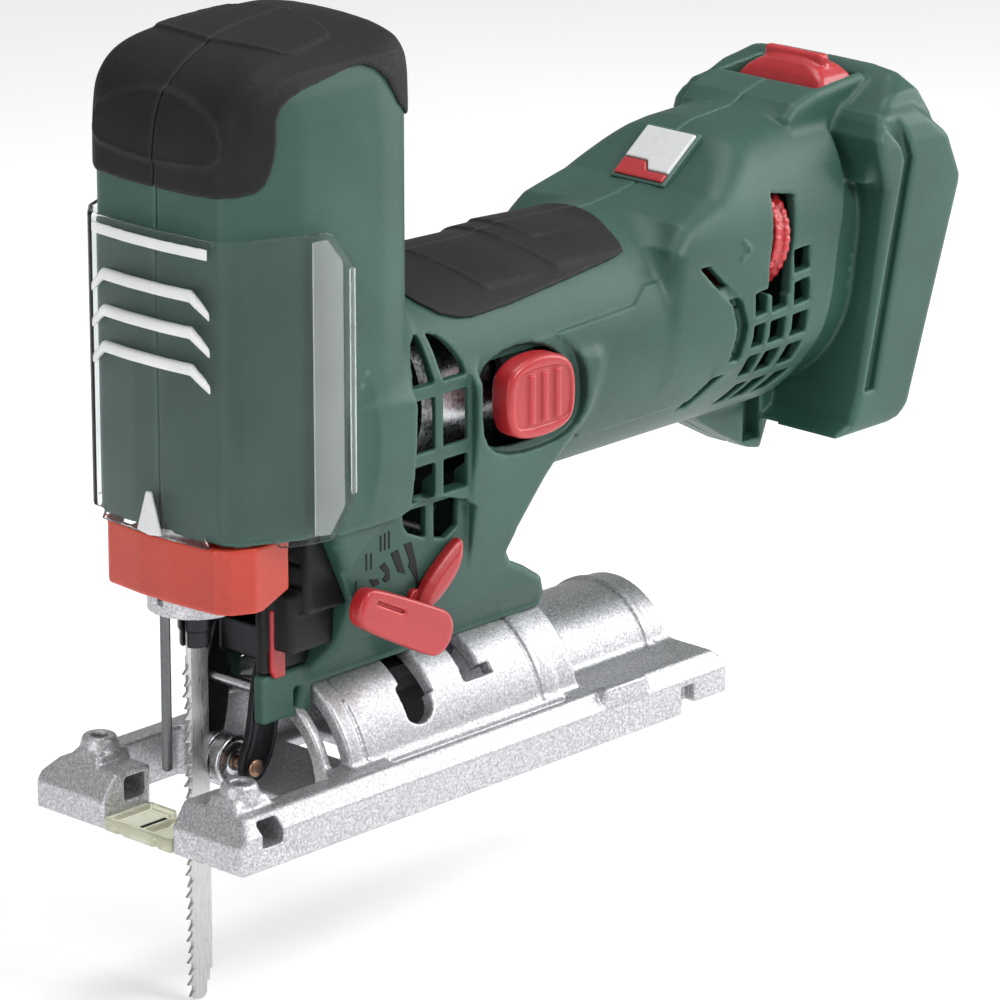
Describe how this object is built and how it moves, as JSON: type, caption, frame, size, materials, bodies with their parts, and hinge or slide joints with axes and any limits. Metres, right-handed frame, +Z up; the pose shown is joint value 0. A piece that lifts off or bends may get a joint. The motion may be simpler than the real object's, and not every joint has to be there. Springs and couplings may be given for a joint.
{
  "type": "cordless jigsaw",
  "caption": "Barrel-grip cordless jigsaw with a tilting cast sole, toolless blade clamp, orbital fork, clear shield and a slide-on battery shoe.",
  "frame": {"origin": "the point where the plunger axis crosses the plane of the sole", "axes": "+X towards the rear of the tool (it cuts towards -X), +Y to the tool's right, +Z up along the plunger"},
  "size_m": [0.277, 0.076, 0.2551],
  "materials": {
    "housing": "moulded green plastic, fine texture",
    "rubber": "soft black overmoulding",
    "red": "red plastic, satin",
    "black": "black plastic",
    "steel": "plain steel",
    "darksteel": "black oxide steel",
    "alu": "die-cast aluminium",
    "bronze": "sintered bronze",
    "copper": "copper",
    "magnet": "ferrite",
    "clear": "clear polycarbonate",
    "white": "white plastic",
    "pcb": "potted electronics"
  },
  "bodies": {
    "main": {"housing_left": "housing", "housing_right": "housing", "head_cap_left": "rubber", "head_cap_right": "rubber", "grip_pad_left": "rubber", "grip_pad_right": "rubber", "housing_screws": "steel", "gear_case": "alu", "upper_bush": "bronze", "lower_bush": "bronze", "front_bearing": "steel", "rear_bearing": "steel", "motor_can": "steel", "motor_magnets": "magnet", "motor_end_cap": "black", "carbon_brushes": "black", "gear_axle": "steel", "axle_clip": "steel", "guard_rod": "steel", "fork_pin": "steel", "switch_module": "black", "controller": "pcb", "speed_pot": "pcb", "badge_plate": "white", "latch_spring": "steel", "terminal_block": "black", "battery_contacts": "bronze", "base_clamp_screw": "steel", "base_clamp_shoe": "darksteel", "tilt_stop_pin": "steel"},
    "sole": {"base_plate": "alu", "splinter_insert": "clear"},
    "plunger": {"plunger_rod": "steel", "yoke": "steel", "blade_clamp": "darksteel", "saw_blade": "steel"},
    "armature": {"armature": "copper", "motor_shaft": "steel", "commutator": "copper", "cooling_fan": "black", "motor_pinion": "steel"},
    "gear": {"drive_gear": "steel", "crank_pin": "steel"},
    "fork": {"roller_fork": "darksteel", "roller_pin": "steel"},
    "roller": {"guide_roller": "steel"},
    "orbit_link": {"orbit_link": "darksteel"},
    "blade_lever": {"release_lever": "red"},
    "shield": {"clear_shield": "clear"},
    "power_slider": {"power_slider_left": "red", "power_slider_right": "red", "switch_link": "black"},
    "speed_wheel": {"speed_wheel": "red"},
    "orbit_lever": {"orbital_lever": "red"},
    "blower_lever": {"blower_lever": "red"},
    "latch": {"latch_button": "red"}
  },
  "joints": [
    {"name": "sole_tilt", "type": "hinge", "parent": "main", "child": "sole", "pos_m": [0.07, 0, 0.008], "axis": [1, 0, 0], "range_deg": [-45, 45]},
    {"name": "plunger_stroke", "type": "slide", "parent": "main", "child": "plunger", "axis": [0, 0, 1], "range_m": [-0.011, 0.011]},
    {"name": "gear_spin", "type": "hinge", "parent": "main", "child": "gear", "pos_m": [0.018, 0, 0.128], "axis": [1, 0, 0], "continuous": true},
    {"name": "motor_spin", "type": "hinge", "parent": "main", "child": "armature", "pos_m": [0.018, 0, 0.101], "axis": [1, 0, 0], "continuous": true},
    {"name": "fork_swing", "type": "hinge", "parent": "main", "child": "fork", "pos_m": [0.014, 0, 0.034], "axis": [0, 1, 0], "range_deg": [-4, 0]},
    {"name": "roller_spin", "type": "hinge", "parent": "fork", "child": "roller", "pos_m": [0.01, 0, 0.0145], "axis": [0, 1, 0], "continuous": true},
    {"name": "orbit_link_slide", "type": "slide", "parent": "main", "child": "orbit_link", "axis": [1, 0, 0], "range_m": [-0.0012, 0.0002]},
    {"name": "blade_lever_turn", "type": "hinge", "parent": "main", "child": "blade_lever", "pos_m": [0, 0, 0.075], "axis": [0, 0, -1], "range_deg": [0, 30], "stiffness_Nm_per_rad": 0.05, "springref_deg": -11.46},
    {"name": "shield_slide", "type": "slide", "parent": "main", "child": "shield", "axis": [0, 0, 1], "range_m": [-0.04, 0]},
    {"name": "power_slide", "type": "slide", "parent": "main", "child": "power_slider", "axis": [-1, 0, 0], "range_m": [0, 0.006]},
    {"name": "speed_wheel_turn", "type": "hinge", "parent": "main", "child": "speed_wheel", "pos_m": [0.188, -0.017, 0.12], "axis": [0.9799, 0, -0.1994], "range_deg": [-270, 0]},
    {"name": "orbit_lever_turn", "type": "hinge", "parent": "main", "child": "orbit_lever", "pos_m": [0.051, 0, 0.0462], "axis": [0, 1, 0], "range_deg": [0, 45]},
    {"name": "blower_lever_turn", "type": "hinge", "parent": "main", "child": "blower_lever", "pos_m": [0.05, -0.03, 0.0545], "axis": [0, 1, 0], "range_deg": [0, 30]},
    {"name": "latch_press", "type": "slide", "parent": "main", "child": "latch", "axis": [0, 0, -1], "range_m": [0, 0.003], "stiffness_N_per_m": 900, "springref_m": -0.002, "deforming": ["latch_spring"]}
  ],
  "couplings": [
    {"joint": "motor_spin", "follows": "gear_spin", "ratio": -5},
    {"joint": "orbit_link_slide", "follows": "fork_swing", "m_per_rad": 0.014}
  ]
}
